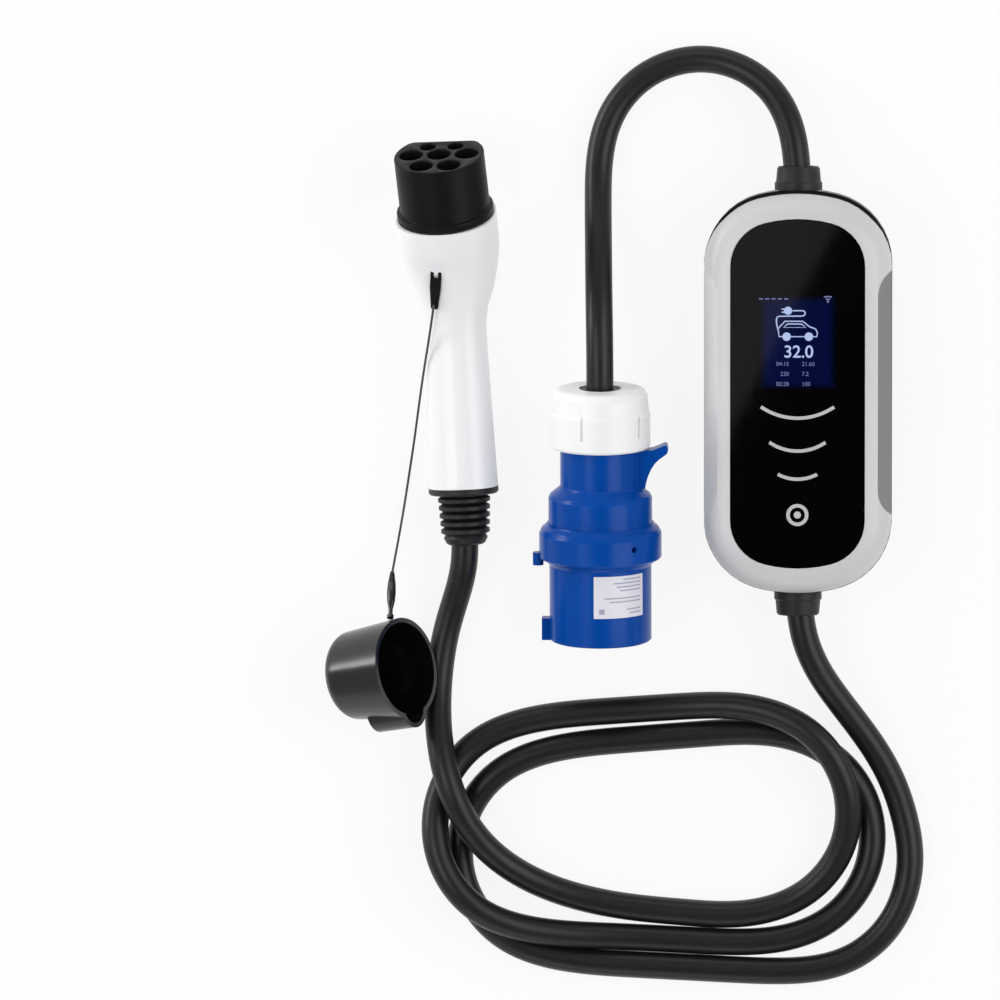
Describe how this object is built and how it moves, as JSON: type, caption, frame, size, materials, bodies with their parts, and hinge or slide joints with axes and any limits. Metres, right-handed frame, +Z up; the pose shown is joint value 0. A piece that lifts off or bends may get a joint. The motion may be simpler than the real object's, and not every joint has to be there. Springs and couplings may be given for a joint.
{
  "type": "portable electric car charger",
  "caption": "Portable car charger: oval control box with a display, a short lead to a round blue mains plug, and a coiled lead to a white handled car connector with a tethered cap.",
  "frame": {"origin": "centre of the control box's flat back face, on the table", "axes": "+Z up through the display, +Y along the control box towards the mains lead, +X to its right"},
  "size_m": [0.3515, 0.5534, 0.0803],
  "materials": {
    "black_shell": "satin moulded black",
    "pearl_bezel": "pearl silver lacquer",
    "black_panel": "polished black",
    "display_blue": "lit blue display behind a clear pane",
    "silver_inlay": "silver print over clear plastic",
    "light_guide": "frosted clear",
    "rubber_black": "matte black rubber",
    "cable_black": "satin black cable sheath",
    "steel": "zinc plated",
    "board_green": "green solder mask",
    "dark_plastic": "dark moulded plastic",
    "yellow_tape": "wound and taped",
    "blue_can": "sleeved can",
    "green_terminal": "green moulding",
    "ribbon_grey": "grey ribbon",
    "spring_brass": "bare brass",
    "wire_brown": "insulated wire",
    "nose_black": "fine textured black",
    "grip_white": "semi-gloss white",
    "tether_black": "black moulding",
    "tether_steel": "dark coated wire rope",
    "cap_black": "glossy black",
    "plug_blue": "semi-gloss blue",
    "pin_nickel": "nickel plated",
    "nut_white": "semi-gloss white",
    "label_pale": "pale sticker with plain bars"
  },
  "bodies": {
    "root": {"rear_housing": "black_shell", "front_bezel": "pearl_bezel", "front_panel": "black_panel", "display_window": "display_blue", "light_bar_large": "silver_inlay", "light_bar_medium": "silver_inlay", "light_bar_small": "silver_inlay", "touch_key_ring": "silver_inlay", "touch_key_dot": "silver_inlay", "light_guide": "light_guide", "housing_seal": "rubber_black", "mains_gland": "rubber_black", "vehicle_gland": "rubber_black", "connector_boot": "rubber_black", "nose_gasket": "rubber_black", "plug_seal": "rubber_black", "mains_lead": "cable_black", "vehicle_lead": "cable_black", "housing_screws": "steel", "display_screws": "steel", "board_screws": "steel", "clamp_screws": "steel", "grip_screws": "steel", "display_board": "board_green", "power_board": "board_green", "display_module": "dark_plastic", "power_relays": "dark_plastic", "current_sensor": "dark_plastic", "controller_chip": "dark_plastic", "mains_clamp": "dark_plastic", "vehicle_clamp": "dark_plastic", "connector_clamp": "dark_plastic", "contact_retainer": "dark_plastic", "pin_carrier": "dark_plastic", "power_supply": "yellow_tape", "filter_capacitors": "blue_can", "mains_terminal": "green_terminal", "vehicle_terminal": "green_terminal", "display_ribbon": "ribbon_grey", "touch_post": "spring_brass", "power_contacts": "spring_brass", "signal_contacts": "spring_brass", "plug_terminals": "spring_brass", "mains_wires": "wire_brown", "vehicle_wires": "wire_brown", "connector_wires": "wire_brown", "plug_wires": "wire_brown", "connector_nose": "nose_black", "grip_shell_left": "grip_white", "grip_shell_right": "grip_white", "tether_anchor": "tether_black", "tether_ferrule": "tether_black", "tether_wire": "tether_steel", "dust_cap": "cap_black", "plug_shroud": "plug_blue", "plug_handle": "plug_blue", "line_pins": "pin_nickel", "earth_pin": "pin_nickel", "plug_nut": "nut_white", "plug_label": "label_pale"}
  },
  "joints": []
}
